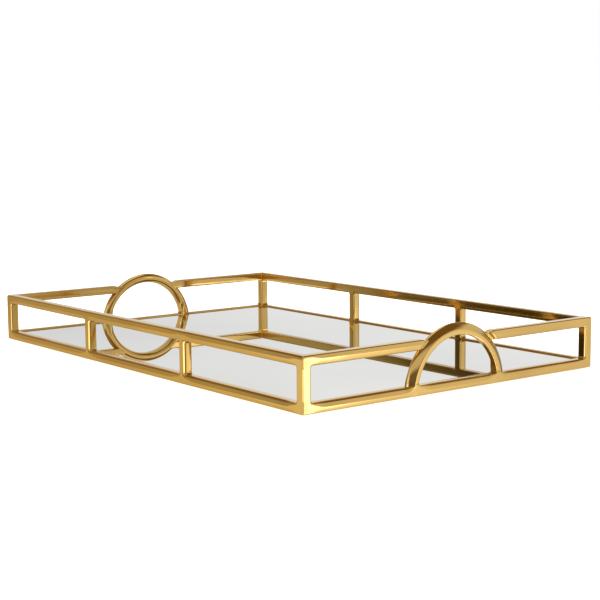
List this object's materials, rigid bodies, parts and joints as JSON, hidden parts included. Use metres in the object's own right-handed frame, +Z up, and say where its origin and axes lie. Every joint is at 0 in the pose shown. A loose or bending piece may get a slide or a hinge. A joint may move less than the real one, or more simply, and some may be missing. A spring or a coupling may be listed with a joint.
{
  "type": "vanity tray",
  "caption": "Rectangular open-gallery vanity tray: polished brass bar frame with half-ring end handles around a mirror base.",
  "frame": {"origin": "centre of the tray at the level it stands on, which is the underside of the foot pads", "axes": "+X along the long side towards one handle (the right one in the picture), +Y across the tray towards the long side furthest from the viewer, +Z up"},
  "size_m": [0.457, 0.301, 0.0528],
  "materials": {
    "frame_brass": "hand-polished, clear lacquered",
    "mirror": "silvered float glass",
    "foam_tape": "double-sided foam tape",
    "hardboard": "plain hardboard",
    "felt": "black felt",
    "plate_steel": "plated steel plate",
    "screw_steel": "zinc-plated screw"
  },
  "bodies": {
    "root": {"front_bottom_rail": "frame_brass", "back_bottom_rail": "frame_brass", "left_bottom_rail": "frame_brass", "right_bottom_rail": "frame_brass", "front_top_rail": "frame_brass", "back_top_rail": "frame_brass", "left_top_rail_front": "frame_brass", "left_top_rail_back": "frame_brass", "right_top_rail_front": "frame_brass", "right_top_rail_back": "frame_brass", "left_handle_arch": "frame_brass", "right_handle_arch": "frame_brass", "front_left_corner_post": "frame_brass", "front_right_corner_post": "frame_brass", "back_left_corner_post": "frame_brass", "back_right_corner_post": "frame_brass", "front_mid_post_left": "frame_brass", "front_mid_post_right": "frame_brass", "back_mid_post_left": "frame_brass", "back_mid_post_right": "frame_brass", "mirror_glass": "mirror", "mirror_tape": "foam_tape", "backing_board": "hardboard", "underside_felt": "felt", "corner_gussets": "plate_steel", "support_tabs": "plate_steel", "board_screws": "screw_steel", "foot_pads": "felt"}
  },
  "joints": []
}
